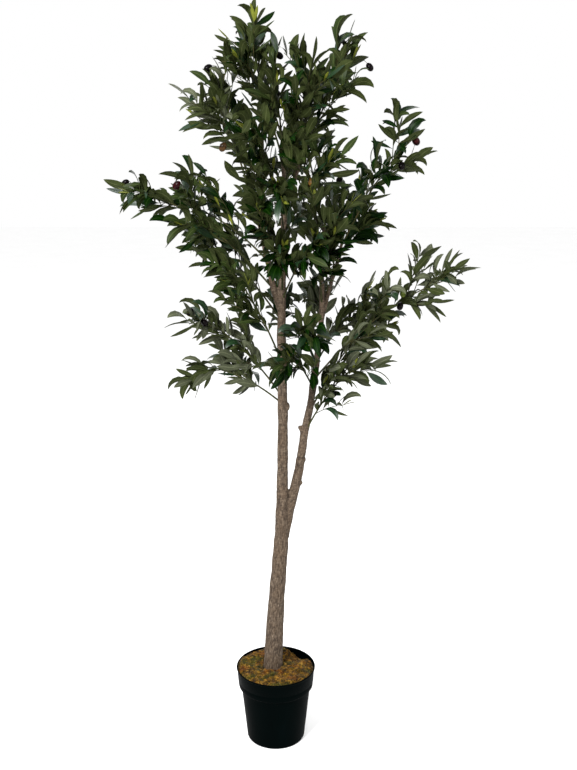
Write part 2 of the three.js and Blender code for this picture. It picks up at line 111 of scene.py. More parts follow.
# Sprays of foliage: limb, height of the root on it, azimuth, reach outward, rise, turn about the
# stem in degrees, tone of the leaves. The five numbers of each row were found by a search outside
# this script, which fitted the sprays to the crown in the photo. They follow from nothing here.
SPRAYS = {
    "low_left_high": ("trunk", 903, 179, 249, 212, 270, "grey"),
    "low_left_low": ("trunk", 886, 163, 270, 70, 200, "grey"),
    "mid_left": ("trunk", 987, 212, 176, 261, 40, "olive"),
    "mid_left_back": ("trunk", 1045, 93, 183, 79, 240, "dark"),
    "left_arm_low": ("trunk", 1087, 164, 269, 218, 170, "olive"),
    "left_arm": ("bough_left", 1161, 184, 372, 240, 340, "olive"),
    "left_arm_high": ("bough_left", 1228, 167, 261, 130, 70, "dark"),
    "upper_left": ("bough_left", 1387, 204, 117, 252, 0, "grey"),
    "upper_left_high": ("bough_left", 1340, 150, 130, 303, 280, "olive"),
    "upper_left_front": ("bough_left", 1289, 273, 183, 259, 120, "dark"),
    "upper_left_back": ("bough_left", 1247, 97, 238, 212, 110, "olive"),
    "top_left": ("trunk", 1449, 206, 123, 255, 210, "olive"),
    "top": ("trunk", 1499, 177, 120, 245, 220, "olive"),
    "top_right": ("bough_centre", 1487, 284, 60, 204, 230, "olive"),
    "top_back": ("trunk", 1478, 101, 160, 174, 90, "olive"),
    "crown_front": ("trunk", 1388, 280, 195, 118, 270, "dark"),
    "crown_back": ("trunk", 1351, 81, 239, 170, 90, "olive"),
    "heart_front": ("trunk", 1288, 266, 249, 125, 120, "dark"),
    "heart_front_low": ("trunk", 1190, 252, 233, 191, 270, "dark"),
    "heart_low": ("trunk", 1133, 302, 192, 170, 280, "dark"),
    "heart_back": ("trunk", 1250, 81, 246, 63, 80, "olive"),
    "far_top_right": ("bough_centre", 1428, 10, 158, 278, 40, "olive"),
    "upper_right": ("bough_centre", 1394, 298, 100, 264, 200, "dark"),
    "upper_right_back": ("bough_right", 1298, 112, 216, 298, 290, "olive"),
    "right_front": ("bough_right", 1218, 257, 235, 269, 290, "dark"),
    "right_back": ("bough_outer", 1186, 81, 234, 206, 260, "olive"),
    "right_arm": ("bough_outer", 1256, 353, 197, 272, 0, "dark"),
    "right_arm_low": ("bough_outer", 1232, 27, 119, 114, 30, "dark"),
    "right_side": ("bough_outer", 1147, 264, 177, 203, 220, "dark"),
    "right_low": ("bough_right", 1064, 99, 136, 90, 340, "grey"),
    "between": ("bough_right", 1012, 247, 204, 62, 60, "dark"),
    "far_right": ("bough_right", 945, 357, 384, 257, 190, "grey"),
    "mid_right": ("bough_right", 858, 6, 200, 262, 160, "grey"),
    "low_right": ("bough_right", 810, 330, 172, 206, 240, "grey"),
    "mid_right_back": ("bough_right", 985, 43, 198, 132, 320, "grey"),
    "heart_mid": ("trunk", 1151, 274, 145, 142, 90, "dark"),
    "heart_mid_left": ("trunk", 1222, 250, 171, 131, 290, "dark"),
    "heart_mid_right": ("bough_right", 1124, 261, 156, 190, 280, "dark"),
    "between_low": ("bough_right", 924, 242, 177, 116, 330, "dark"),
}
GROWTH = Values(
    arch=0.12, bend_step=75, smooth=24, spacing=96, first=0.3, last=0.88, angle=44, share=0.36,
    less=0.16, least=24, reach=290, size=0.3, lift=0.16, turn=137.5, checks=(0.35, 0.7, 1),
    tries=7, try_turn=0.9, try_less=0.08, clear=1.0, limb_clear=3,
)
LEAF = Values(
    length=78, width=20, shoulder=0.75, over_wood=0.9, last=0.99, last_spread=0.1, spread=46,
    twig_pairs=(0.4, 0.74), stem_pairs=(0.93,), turn=1.3, stray=0.5, tilt=(0.4, 1.15),
    droop=(-0.2, 0.55), size=0.3, sharp=75,
)
# The finer growth that the solids leave out, in the same space
FINE = Values(
    length=72, size=0.34, twig_pairs=(0.2, 0.3, 0.57, 0.87), side_pairs=(0.28, 0.5, 0.78),
    stem_pairs=(0.32, 0.42, 0.52, 0.62, 0.72, 0.82), side_share=0.62, shift=0.02, first_twig=21,
    first_leaf=40,
)
# The drawn leaf's width for its length, bend along it, bend across it and twist
SHAPE = Values(width=(0.21, 0.31), arch=(-0.5, 2.7), bend=1.0, twist=0.9)
YOUNG = Values(
    share=0.3, length=40, size=(0.75, 1.1), width=0.19, spread=0.32, roll=2.0, lift=0.35, sunk=2,
    tilt=2.4, arch=(-0.2, 0.4), bend=0.3, twist=0.5,
)
WIRE = Values(stem=2.3, stem_tip=1.3, stem_sides=8, twig=1.1, twig_tip=0.7, stalk=0.45, sides=6)
OLIVE = Values(
    length=20.5, diameter=15, red=1.15, fall=1.2, stray=0.9, rings=12, sides=16, swell=0.05,
    point=1.03, sunk=0.47, stalk_arch=0.16,
)
SEEDS = Values(spray=1000, leaf=100, young=900, strands=77, olive=5000)
# Skins: a dark and a light colour as on a screen, and the roughness
SKINS = {
    "black": ((2, 1, 1), (8, 3, 5), 0.22),
    "red": ((20, 4, 5), (46, 10, 10), 0.22),
    "amber": ((62, 42, 18), (108, 80, 38), 0.3),
    "green": ((48, 58, 18), (80, 90, 36), 0.3),
    "brown": ((28, 19, 9), (72, 50, 25), 0.3),
}
# Olives: x, y, height of the middle, skin. Most places were found by a script, each near a twig.
OLIVES = [
    (-142, -28, 1650, "black"), (12, 2, 1678, "black"), (211, 7, 1654, "black"),
    (320, 26, 1496, "red"), (-332, -22, 1405, "black"), (-215, -41, 1401, "red"),
    (-102, -191, 1486, "brown"), (81, -172, 1414, "amber"), (286, -5, 1442, "black"),
    (-154, 29, 1241, "red"), (-194, -31, 1115, "black"), (-160, -47, 1093, "black"),
    (289, -24, 1127, "black"), (296, -16, 1156, "green"), (49, 148, 1432, "red"),
    (-30, 188, 1416, "black"), (-72, 159, 1349, "red"), (157, 194, 1402, "black"),
    (201, 107, 1050, "green"), (7, 109, 1600, "black"),
]
UP = np.array((0.0, 0.0, 1.0))
MASK = 0xFFFFFFFF


# Lines, directions and seeded numbers, as in the source
def unit(vector):
    return vector / norm(vector)


def lerp(low, high, part):
    return low + (high - low) * part


def direction_of(azimuth, rise):
    flat = cos(radians(rise))
    turn = radians(azimuth)
    return np.array((flat * cos(turn), flat * sin(turn), sin(radians(rise))))


def multiply(first, second):
    return (first * second) & MASK


def seeded(seed):
    state = seed & MASK

    def draw():
        nonlocal state
        state = (state + 0x6D2B79F5) & MASK
        mixed = multiply(state ^ (state >> 15), state | 1)
        mixed = ((mixed + multiply(mixed ^ (mixed >> 7), mixed | 61)) & MASK) ^ mixed
        return (mixed ^ (mixed >> 14)) / 4294967296

    return draw


def leaning(line, angle, roll):
    side = np.cross(UP, line)
    if side @ side < 1e-6:
        side = np.array((1.0, 0.0, 0.0))
    side = unit(side)
    over = np.cross(line, side)
    around = side * cos(roll) + over * sin(roll)
    return line * cos(angle) + around * sin(angle)


def turned_about(vector, axis, angle):
    across = np.cross(axis, vector)
    along = axis * (axis @ vector)
    return along + (vector - along) * cos(angle) + across * sin(angle)


def along_line(line, part):
    place = part * (len(line) - 1)
    start = min(int(place), len(line) - 2)
    point = lerp(line[start], line[start + 1], place - start)
    return point, unit(line[start + 1] - line[start])


def spaced(curve_point, count, samples=200):
    """Points at equal lengths along a curve."""
    parts = np.linspace(0, 1, samples + 1)
    points = np.array([curve_point(part) for part in parts])
    run = np.concatenate(([0], np.cumsum(norm(np.diff(points, axis=0), axis=1))))
    wanted = np.interp(np.linspace(0, run[-1], count + 1), run, parts)
    return np.array([curve_point(part) for part in wanted])


# Limbs
def limb_curve(name):
    """A smooth curve through the limb's stations, with centripetal spacing."""
    points = np.array([station[:3] for station in LIMBS[name]], dtype=float)
    before = 2 * points[0] - points[1]
    after = 2 * points[-1] - points[-2]
    padded = np.vstack((before, points, after))

    def point_at(part):
        place = part * (len(points) - 1)
        start = min(int(place), len(points) - 2)
        weight = place - start
        p0, p1, p2, p3 = padded[start:start + 4]
        d0, d1, d2 = (sqrt(norm(b - a)) for a, b in ((p0, p1), (p1, p2), (p2, p3)))
        t1 = ((p1 - p0) / d0 - (p2 - p0) / (d0 + d1) + (p2 - p1) / d1) * d1
        t2 = ((p2 - p1) / d1 - (p3 - p1) / (d1 + d2) + (p3 - p2) / d2) * d1
        square = -3 * p1 + 3 * p2 - 2 * t1 - t2
        cube = 2 * p1 - 2 * p2 + t1 + t2
        return p1 + t1 * weight + square * weight**2 + cube * weight**3

    return point_at


limb_curves = {name: limb_curve(name) for name in LIMBS}


def limb_radius(name, height):
    stations = LIMBS[name]
    heights = [station[2] for station in stations]
    return np.interp(height, heights, [station[3] for station in stations]) / 2


def limb_point(name, height, halvings=30):
    low, high = 0.0, 1.0
    for _ in range(halvings):
        middle = (low + high) / 2
        if limb_curves[name](middle)[2] < height:
            low = middle
        else:
            high = middle
    return limb_curves[name](low)


# Sprays: each an arched stem that ends where its last leaf starts
class Spray:
    def __init__(self, name, index):
        limb, height, azimuth, reach, rise, turn, self.tone = SPRAYS[name]
        self.name = name
        self.index = index
        self.turn = radians(turn)
        self.seed = SEEDS.spray * (index + 1)
        root = limb_point(limb, height)
        tip = root + direction_of(azimuth, 0) * reach + UP * rise
        self.length = norm(tip - root)
        wood_end = 1 - LEAF.over_wood * LEAF.length / self.length
        top = (root + tip) / 2 + UP * 2 * GROWTH.arch * self.length
        first = lerp(root, top, wood_end)
        second = lerp(top, tip, wood_end)
        third = lerp(first, second, wood_end)

        def stem(part):
            return lerp(lerp(root, first, part), lerp(first, third, part), part)

        self.wood = spaced(stem, int(self.length / GROWTH.bend_step + 0.5))
        self.smooth = spaced(stem, GROWTH.smooth)
        self.line = np.vstack((self.wood, tip))


sprays = [Spray(name, index) for index, name in enumerate(SPRAYS)]


def segments_of(lines):
    starts = np.vstack([line[:-1] for line in lines])
    steps = np.vstack([np.diff(line, axis=0) for line in lines])
    firsts = np.cumsum([0] + [len(line) - 1 for line in lines[:-1]])
    return starts, steps, (steps**2).sum(axis=1), firsts


def distances(points, segments):
    """How far each point is from each line, as points by lines."""
    starts, steps, squares, firsts = segments
    to_point = points[:, None, :] - starts[None]
    part = (to_point * steps[None]).sum(axis=2) / squares
    nearest = to_point - np.clip(part, 0, 1)[..., None] * steps[None]
    return np.sqrt(np.minimum.reduceat((nearest**2).sum(axis=2), firsts, axis=1))


spray_segments = segments_of([spray.line for spray in sprays])
LIMB_STEPS = 40
limb_lines = {
    name: np.array([curve(i / LIMB_STEPS) for i in range(LIMB_STEPS + 1)])
    for name, curve in limb_curves.items()
}
limb_segments = segments_of(list(limb_lines.values()))


def fits(points, spray):
    """Whether the points are in the spray's own space and clear of the limbs."""
    points = np.array(points)
    away = distances(points, spray_segments)
    own = away[:, spray.index].copy()
    away[:, spray.index] = np.inf
    if (away.min(axis=1) - own <= 2 * GROWTH.clear).any():
        return False
    from_limbs = distances(points, limb_segments)
    radii = np.stack([limb_radius(name, points[:, 2]) for name in LIMBS], axis=1)
    return bool((from_limbs > radii + GROWTH.limb_clear).all())


def first_fit(spray, make, points_of):
    for attempt in range(GROWTH.tries):
        found = make(attempt)
        if fits(points_of(found), spray):
            return [found]
    return []


# Twigs: the straight one that the rule tests, and the arched one that is drawn
def grow_twig(spray, part, number, share=1.0):
    draw = seeded(spray.seed + number)
    point, direction = along_line(spray.wood, part)
    start = along_line(spray.smooth, part)[0]
    size = 1 + GROWTH.size * (draw() - 0.5)
    ruled = GROWTH.share - GROWTH.less * part
    length = (GROWTH.least + size * min(spray.length, GROWTH.reach) * ruled) * share
    first_roll = radians(number * GROWTH.turn) + spray.turn + draw()

    def make(attempt):
        less = 1 - GROWTH.try_less * attempt
        angle = radians(GROWTH.angle) * less
        out = leaning(direction, angle, first_roll + attempt * GROWTH.try_turn)
        return np.array((point, point + (out + UP * GROWTH.lift) * length * less))

    def points_of(twig):
        return [along_line(twig, place)[0] for place in GROWTH.checks]

    return [(twig, arched(start, twig[1])) for twig in first_fit(spray, make, points_of)]


def arched(start, end, rise=0.07, count=6):
    length = norm(end - start)
    parts = np.linspace(0, 1, count + 1)[:, None]
    return lerp(start, end, parts) + UP * rise * length * 4 * parts * (1 - parts)


# Leaves
def upright(along):
    return unit(UP - along * (UP @ along))


def leaf_at(root, line, roll, spread, draw, kind):
    along = unit(leaning(line, spread, roll) - UP * lerp(*LEAF.droop, draw()) * spread)
    side = 2 * draw() - 1
    tilt = math.copysign(lerp(*LEAF.tilt, abs(side)), side)
    length = kind.length * (1 - kind.size * draw())
    return Values(root=root, along=along, level=upright(along), tilt=tilt, length=length)


def leaf_corners(leaf):
    root, reach = leaf.root, leaf.along * leaf.length
    across = np.cross(turned_about(leaf.level, leaf.along, leaf.tilt), leaf.along)
    half = across * (LEAF.width / 2)
    middle = root + reach / 2
    return [root + reach, root + reach * LEAF.shoulder, middle + half, middle - half]


def shaped(leaf, shape, draw):
    leaf.arch = lerp(*shape.arch, draw())
    leaf.bend = (draw() - 0.5) * shape.bend
    leaf.twist = (draw() - 0.5) * shape.twist


def grow_leaves(spray, twig, part, rolls, spread, number, kind=LEAF):
    ruled, drawn = twig
    point, direction = along_line(ruled, part)
    moved = along_line(drawn, part)[0] - point
    leaves = []
    for side, roll in enumerate(rolls):
        draw = seeded(spray.seed + SEEDS.leaf + 10 * number + side)

        def make(attempt):
            stray = (draw() - 0.5) * LEAF.stray * (1 + attempt)
            less = spread * (1 - GROWTH.try_less * attempt)
            return leaf_at(point, direction, roll + stray, less, draw, kind)

        for leaf in first_fit(spray, make, leaf_corners):
            leaf.root = leaf.root + moved
            leaf.width = leaf.length * lerp(*SHAPE.width, draw())
            shaped(leaf, SHAPE, draw)
            leaf.tone = tone_for(spray, draw())
            leaves.append(leaf)
    return leaves


# Tones: each one's colour and midrib as on a screen, its roughness and, if it's glossy, its shine
TONES = {
    "dark": ((3, 22, 0), (32, 56, 14), 0.34),
    "olive": ((33, 44, 17), (72, 80, 44), 0.4),
    "grey": ((64, 68, 51), (106, 110, 86), 0.45),
    "young": ((86, 92, 28), (122, 122, 56), 0.5),
    "underside": ((42, 49, 22), (76, 81, 50), 0.6),
    "glossy": ((12, 36, 14), (40, 64, 34), 0.36, 0.45),
}
TONE_NAMES = list(TONES)
NEXT_TONE = {"dark": "olive", "olive": "dark", "grey": "underside"}
OWN_TONE_BELOW = 0.7
GLOSSY_ABOVE = 0.86


def tone_for(spray, chance):
    if chance > GLOSSY_ABOVE:
        return "glossy"
    return spray.tone if chance < OWN_TONE_BELOW else NEXT_TONE[spray.tone]


def young_tip(spray, twig, number):
    """Now and then a twig ends in two narrow young leaves, held upright."""
    draw = seeded(spray.seed + SEEDS.young + number)
    if draw() > YOUNG.share:
        return []
    drawn = twig[1]
    point, direction = drawn[-1], unit(drawn[-1] - drawn[-2])
    leaves = []
    for side in (0, 1):
        roll = YOUNG.roll + side * pi + draw()
        along = unit(leaning(direction, YOUNG.spread, roll) + UP * YOUNG.lift)
        leaf = Values(
            root=point - along * YOUNG.sunk, along=along, level=upright(along), tone="young",
            tilt=(draw() - 0.5) * YOUNG.tilt, length=YOUNG.length * lerp(*YOUNG.size, draw()),
        )
        shaped(leaf, YOUNG, draw)
        leaf.width = leaf.length * YOUNG.width
        if fits([point + along * leaf.length], spray):
            leaves.append(leaf)
    return leaves


def grow(spray):
    """The spray's twigs and leaves: those of the solids first, then the finer growth."""
    leaves = []

    def last_leaf(twig, number, kind):
        leaves.extend(grow_leaves(spray, twig, LEAF.last, [0], LEAF.last_spread, number, kind))

    def leaf_pair(twig, part, roll, number, kind):
        spread = radians(LEAF.spread)
        leaves.extend(grow_leaves(spray, twig, part, [roll, roll + pi], spread, number, kind))

    count = int(spray.length / GROWTH.spacing + 0.5)
    parts = [lerp(GROWTH.first, GROWTH.last, (i + 0.5) / count) for i in range(count)]
    twigs = [twig for i, part in enumerate(parts) for twig in grow_twig(spray, part, i + 1)]
    stem = (spray.wood, spray.smooth)
    for index, twig in enumerate([stem] + twigs):
        pairs = LEAF.stem_pairs if index == 0 else LEAF.twig_pairs
        last_leaf(twig, 4 * index, LEAF)
        for pair, part in enumerate(pairs):
            leaf_pair(twig, part, pair * LEAF.turn, 4 * index + pair + 1, LEAF)

    side_twigs = []
    for i in range(count + 1):
        part = lerp(GROWTH.first, GROWTH.last, i / count) - FINE.shift
        side_twigs += grow_twig(spray, part, FINE.first_twig + i, FINE.side_share)
    number = FINE.first_leaf
    for index, twig in enumerate([stem] + twigs + side_twigs):
        pairs = FINE.side_pairs
        if index == 0:
            pairs = FINE.stem_pairs
        elif index <= len(twigs):
            pairs = FINE.twig_pairs
        for pair, part in enumerate(pairs):
            leaf_pair(twig, part, pair * LEAF.turn + index, number, FINE)
            number += 1
        if index > len(twigs):
            last_leaf(twig, number, FINE)
            number += 1
        leaves += young_tip(spray, twig, index)
    return twigs + side_twigs, leaves


# Meshes
scene = bpy.context.scene


def linked(name, data):
    thing = bpy.data.objects.new(name, data)
    scene.collection.objects.link(thing)
    return thing


def new_piece(name, points, faces, materials, slot, face_materials=None):
    mesh = bpy.data.meshes.new(name)
    mesh.from_pydata((np.asarray(points) * METRE).tolist(), [], faces)
    for material in materials:
        mesh.materials.append(material)
    if face_materials is not None:
        mesh.polygons.foreach_set("material_index", np.asarray(face_materials, dtype=np.int32))
    make_smooth(mesh)
    piece = linked(name, mesh)
    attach(piece, "root")
    return piece


def make_smooth(mesh):
    mesh.polygons.foreach_set("use_smooth", np.full(len(mesh.polygons), True))
    mesh.update()


def add_attribute(piece, name, values, kind="FLOAT", key="value"):
    """A number or vector for each point of the mesh, which its material reads by name."""
    attribute = piece.data.attributes.new(name, kind, "POINT")
    attribute.data.foreach_set(key, np.asarray(values, dtype=np.float32).ravel())


class Bundle:
    """Many small closed forms gathered into one mesh."""

    def __init__(self):
        self.points, self.faces, self.materials, self.vectors = [], [], [], []
        self.count = 0

    def add(self, points, faces, materials=0, vectors=None):
        """One form; materials is a number for all its faces or a list of one for each."""
        self.faces += [tuple(corner + self.count for corner in face) for face in faces]
        self.points.append(points)
        self.materials += [materials] * len(faces) if isinstance(materials, int) else materials
        if vectors is not None:
            self.vectors.append(vectors)
        self.count += len(points)

    def piece(self, name, materials, slot):
        piece = new_piece(name, np.vstack(self.points), self.faces, materials, slot, self.materials)
        if self.vectors:
            add_attribute(piece, "blade", np.vstack(self.vectors), "FLOAT_VECTOR", "vector")
        return piece


def circle(across, over, sides):
    """Points of a circle with radius 1 about the origin."""
    angles = np.arange(sides) * 2 * pi / sides
    return np.outer(np.cos(angles), across) + np.outer(np.sin(angles), over)


def closed_faces(rings, sides, first, start, end):
    """Faces of a closed form: rings of points, counted from first, and a point at each end."""
    faces = []
    for ring in range(rings - 1):
        for side in range(sides):
            a, b = (first + ring * sides + step for step in (side, (side + 1) % sides))
            faces.append((a, b, b + sides, a + sides))
    last = first + (rings - 1) * sides
    for side in range(sides):
        after = (side + 1) % sides
        faces.append((start, first + after, first + side))
        faces.append((end, last + side, last + after))
    return faces


def ringed(start, rings, end, sides):
    """A closed form from its rings of points and its two end points."""
    points = np.vstack([start] + rings + [end])
    return points, closed_faces(len(rings), sides, 1, 0, len(points) - 1)


END_BULGE = 0.6


def tube(points, radii, sides, flat_start=False):
    """A round tube with closed ends: its points and faces."""
    points = np.asarray(points, dtype=float)
    tangents = np.gradient(points, axis=0)
    tangents /= norm(tangents, axis=1)[:, None]
    normal = np.cross(tangents[0], (0.0, 1.0, 0.0))
    if normal @ normal < 1e-3:
        normal = np.cross(tangents[0], (1.0, 0.0, 0.0))
    rings = []
    for point, tangent, radius in zip(points, tangents, radii):
        normal = unit(normal - tangent * (normal @ tangent))
        rings.append(point + circle(normal, np.cross(tangent, normal), sides) * radius)
    first = points[0] - tangents[0] * (0 if flat_start else radii[0] * END_BULGE)
    last = points[-1] + tangents[-1] * radii[-1] * END_BULGE
    count = len(points) * sides
    faces = closed_faces(len(points), sides, 0, count, count + 1)
    return np.vstack(rings + [first, last]), faces


def turned(profile, segments):
    """A closed form turned about the upright axis, from a profile that starts and ends on it."""
    around = circle((1.0, 0.0, 0.0), (0.0, 1.0, 0.0), segments)
    rings = [around * radius + UP * height for radius, height in profile[1:-1]]
    return ringed(UP * profile[0][1], rings, UP * profile[-1][1], segments)


# A leaf: stations along it, each with its half width, and columns across it
STATIONS = np.array((0, 0.05, 0.14, 0.28, 0.45, 0.62, 0.78, 0.91, 1.0))
HALF_WIDTHS = np.array((0, 0.08, 0.27, 0.68, 0.95, 0.98, 0.74, 0.38, 0))
COLUMNS = np.array((-1, -0.5, 0, 0.5, 1))
LEAF_THICK = 0.75
FOLD = 0.34
CURL = 0.26
BEND_POWER = 1.4
LEVEL_PART = 0.45
UNTWISTED_PART = 0.3


def leaf_faces():
    """Faces of the blade's top and then of its underside, whose keel is one more column."""
    edge = len(COLUMNS) - 1
    keel = edge + 1
    row = keel + 1
    last = len(STATIONS) - 3
    tip = 1 + (last + 1) * row

    def at(station, column):
        return 1 + station * row + column

    top, under = [], []
    for column in range(edge):
        top.append((0, at(0, column), at(0, column + 1)))
        top.append((at(last, column), tip, at(last, column + 1)))
    under += [(0, at(0, keel), at(0, 0)), (0, at(0, edge), at(0, keel))]
    under += [(at(last, keel), tip, at(last, 0)), (at(last, edge), tip, at(last, keel))]
    for station in range(last):
        after = station + 1
        for column in range(edge):
            here, there = at(station, column), at(after, column)
            top.append((here, there, there + 1, here + 1))
        under.append((at(station, 0), at(station, keel), at(after, keel), at(after, 0)))
        under.append((at(station, keel), at(station, edge), at(after, edge), at(after, keel)))
    return top, under


TOP_FACES, UNDER_FACES = leaf_faces()


def leaf_points(leaf):
    length, half = leaf.length, leaf.width / 2
    middles = (STATIONS[1:] + STATIONS[:-1]) / 2
    steps = np.diff(STATIONS) * length
    fall = leaf.arch * (middles**BEND_POWER - LEVEL_PART)
    sway = leaf.bend * (middles - 0.5)
    spine = np.zeros((len(STATIONS), 3))
    spine[1:, 0] = np.cumsum(np.cos(fall) * np.cos(sway) * steps)
    spine[1:, 1] = np.cumsum(np.cos(fall) * np.sin(sway) * steps)
    spine[1:, 2] = np.cumsum(-np.sin(fall) * steps)
    slope = leaf.arch * (STATIONS**BEND_POWER - LEVEL_PART)
    roll = leaf.tilt + leaf.twist * (STATIONS - UNTWISTED_PART)
    over = np.stack((np.sin(slope), np.zeros_like(slope), np.cos(slope)), axis=1)
    side = np.tile((0.0, 1.0, 0.0), (len(slope), 1))
    across = side * np.cos(roll)[:, None] + over * np.sin(roll)[:, None]
    normal = over * np.cos(roll)[:, None] - side * np.sin(roll)[:, None]
    points, places = [spine[0]], [(0.5, 0, 0)]
    for i in range(1, len(STATIONS) - 1):
        width = HALF_WIDTHS[i] * half
        for column in COLUMNS:
            height = width * (FOLD * abs(column) - CURL * column**2)
            points.append(spine[i] + across[i] * width * column + normal[i] * height)
            places.append((0.5 + 0.5 * column, STATIONS[i], 0))
        points.append(spine[i] - normal[i] * LEAF_THICK)
        places.append((0.5, STATIONS[i], 0))
    points.append(spine[-1])
    places.append((0.5, 1, 0))
    basis = np.array((leaf.along, np.cross(leaf.level, leaf.along), leaf.level))
    return leaf.root + np.array(points) @ basis, np.array(places)


def add_leaf(bundle, leaf):
    points, places = leaf_points(leaf)
    tone = TONE_NAMES.index(leaf.tone)
    under = tone if leaf.tone == "young" else TONE_NAMES.index("underside")
    tones = [tone] * len(TOP_FACES) + [under] * len(UNDER_FACES)
    bundle.add(points, TOP_FACES + UNDER_FACES, tones, places)


# Materials
def srgb(red, green, blue):
    """A colour given as on a screen, 0 to 255, as a linear one."""
    return tuple(
        value / 255 / 12.92 if value <= 10 else ((value / 255 + 0.055) / 1.055) ** 2.4
        for value in (red, green, blue)
    )


def shade(color, factor):
    return tuple(value * factor for value in color)


class Nodes:
    """Short calls for a material's nodes. Colours are given as on a screen."""

    def __init__(self, name):
        self.material = bpy.data.materials.new(name)
        self.material.use_nodes = True
        self.tree = self.material.node_tree
        self.tree.nodes.clear()
        self.shader = self.add("ShaderNodeBsdfPrincipled")
        output = self.add("ShaderNodeOutputMaterial")
        self.link(self.shader.outputs["BSDF"], output.inputs["Surface"])
        self.place = self.add("ShaderNodeTexCoord").outputs["Object"]

    def link(self, source, target):
        self.tree.links.new(source, target)

    def add(self, kind, inputs=None, **settings):
        """A node, with each input linked where its value is another node's output."""
        node = self.tree.nodes.new(kind)
        for key, value in settings.items():
            setattr(node, key, value)
        for key, value in (inputs or {}).items():
            if isinstance(value, bpy.types.NodeSocket):
                self.link(value, node.inputs[key])
            else:
                node.inputs[key].default_value = value
        return node

    def scaled(self, *scale):
        inputs = {"Vector": self.place, "Scale": scale}
        return self.add("ShaderNodeMapping", inputs).outputs["Vector"]

    def noise(self, scale, detail, rough=0.55, source=None):
        inputs = {"Scale": scale, "Detail": detail, "Roughness": rough}
        inputs["Vector"] = source or self.place
        return self.add("ShaderNodeTexNoise", inputs).outputs["Fac"]

    def attribute(self, name, output="Fac"):
        return self.add("ShaderNodeAttribute", attribute_name=name).outputs[output]

    def split(self, source):
        return self.add("ShaderNodeSeparateXYZ", {"Vector": source}).outputs

    def ramp(self, source, *stops):
        """Stops are places with a linear colour or a number."""
        node = self.add("ShaderNodeValToRGB", {"Fac": source})
        elements = node.color_ramp.elements
        for _ in range(len(stops) - 2):
            elements.new(0.5)
        for element, (place, color) in zip(elements, stops):
            element.position = place
            element.color = (*color, 1) if isinstance(color, tuple) else (color, color, color, 1)
        return node.outputs["Color"]

    # light scales every colour of the ramp; below 1 it paints shade, above 1 it paints light
    def tones(self, source, *stops, light=1):
        return self.ramp(source, *((place, shade(srgb(*color), light)) for place, color in stops))

    def mix(self, part, first, second):
        """Two colours mixed; the second may be one given as on a screen."""
        if isinstance(second, tuple):
            second = (*srgb(*second), 1)
        node = self.add("ShaderNodeMix", {0: part, 6: first, 7: second}, data_type="RGBA")
        return node.outputs[2]

    def math(self, operation, first, second=0.0):
        return self.add("ShaderNodeMath", {0: first, 1: second}, operation=operation).outputs[0]

    def finish(self, color, height, strength, depth, rough=None, **values):
        """Colour, relief and the rest: rough is a source with its lowest and highest value."""
        self.link(color, self.shader.inputs["Base Color"])
        if height:
            inputs = {"Strength": strength, "Distance": depth, "Height": height}
            relief = self.add("ShaderNodeBump", inputs)
            self.link(relief.outputs["Normal"], self.shader.inputs["Normal"])
        if rough:
            source, low, high = rough
            inputs = {"To Min": low, "To Max": high, "Value": source}
            spread = self.add("ShaderNodeMapRange", inputs)
            self.link(spread.outputs["Result"], self.shader.inputs["Roughness"])
        for name, value in values.items():
            self.shader.inputs[name.replace("_", " ")].default_value = value
        return self.material


def leaf_material(name, base, rib, rough, gloss=0.06):
    """Printed cloth: patchy colour, a lighter midrib, faint side veins and a fine weave."""
    nodes = Nodes("leaf_" + name)
    base = srgb(*base)
    across, along, _ = nodes.split(nodes.attribute("blade", "Vector"))
    off_middle = nodes.math("ABSOLUTE", nodes.math("SUBTRACT", across, 0.5))
    patches = nodes.noise(scale=38, detail=3)
    cloth = nodes.ramp(patches, (0.3, shade(base, 0.72)), (0.55, base), (0.75, shade(base, 1.35)))
    slanted = nodes.math("SUBTRACT", along, nodes.math("MULTIPLY", off_middle, 0.35))
    waves = nodes.math("SINE", nodes.math("MULTIPLY", slanted, 75))
    veins = nodes.ramp(waves, (0.82, 0.0), (1.0, 0.22))
    midrib = nodes.ramp(off_middle, (0.022, 0.62), (0.055, 0.0))
    color = nodes.mix(midrib, nodes.mix(veins, cloth, rib), rib)
    weave = nodes.math("MULTIPLY", nodes.noise(scale=2600, detail=1), 0.35)
    relief = nodes.math("ADD", weave, nodes.math("MULTIPLY", midrib, -0.8))
    relief = nodes.math("ADD", relief, nodes.math("MULTIPLY", veins, -0.5))
    rough = (patches, rough - 0.08, rough + 0.1)
    return nodes.finish(color, relief, 0.35, 0.0006, rough, Specular_IOR_Level=gloss)


def wire_material():
    nodes = Nodes("twig_coating")
    patches = nodes.noise(scale=45, detail=4)
    color = nodes.tones(patches, (0.35, (30, 31, 14)), (0.5, (44, 48, 22)), (0.68, (64, 56, 32)))
    grain = nodes.noise(scale=900, detail=2)
    return nodes.finish(color, grain, 0.4, 0.0004, (patches, 0.5, 0.7), Specular_IOR_Level=0.1)


def olive_material(name, dark, light, rough):
    nodes = Nodes("olive_" + name)
    patches = nodes.noise(scale=120, detail=4)
    color = nodes.tones(patches, (0.35, dark), (0.68, light))
    pores = nodes.noise(scale=1500, detail=2)
    shine = {"Specular_IOR_Level": 0.05, "Coat_Weight": 0.03, "Coat_Roughness": 0.1}
    return nodes.finish(color, pores, 0.12, 0.0004, (patches, rough, rough + 0.14), **shine)


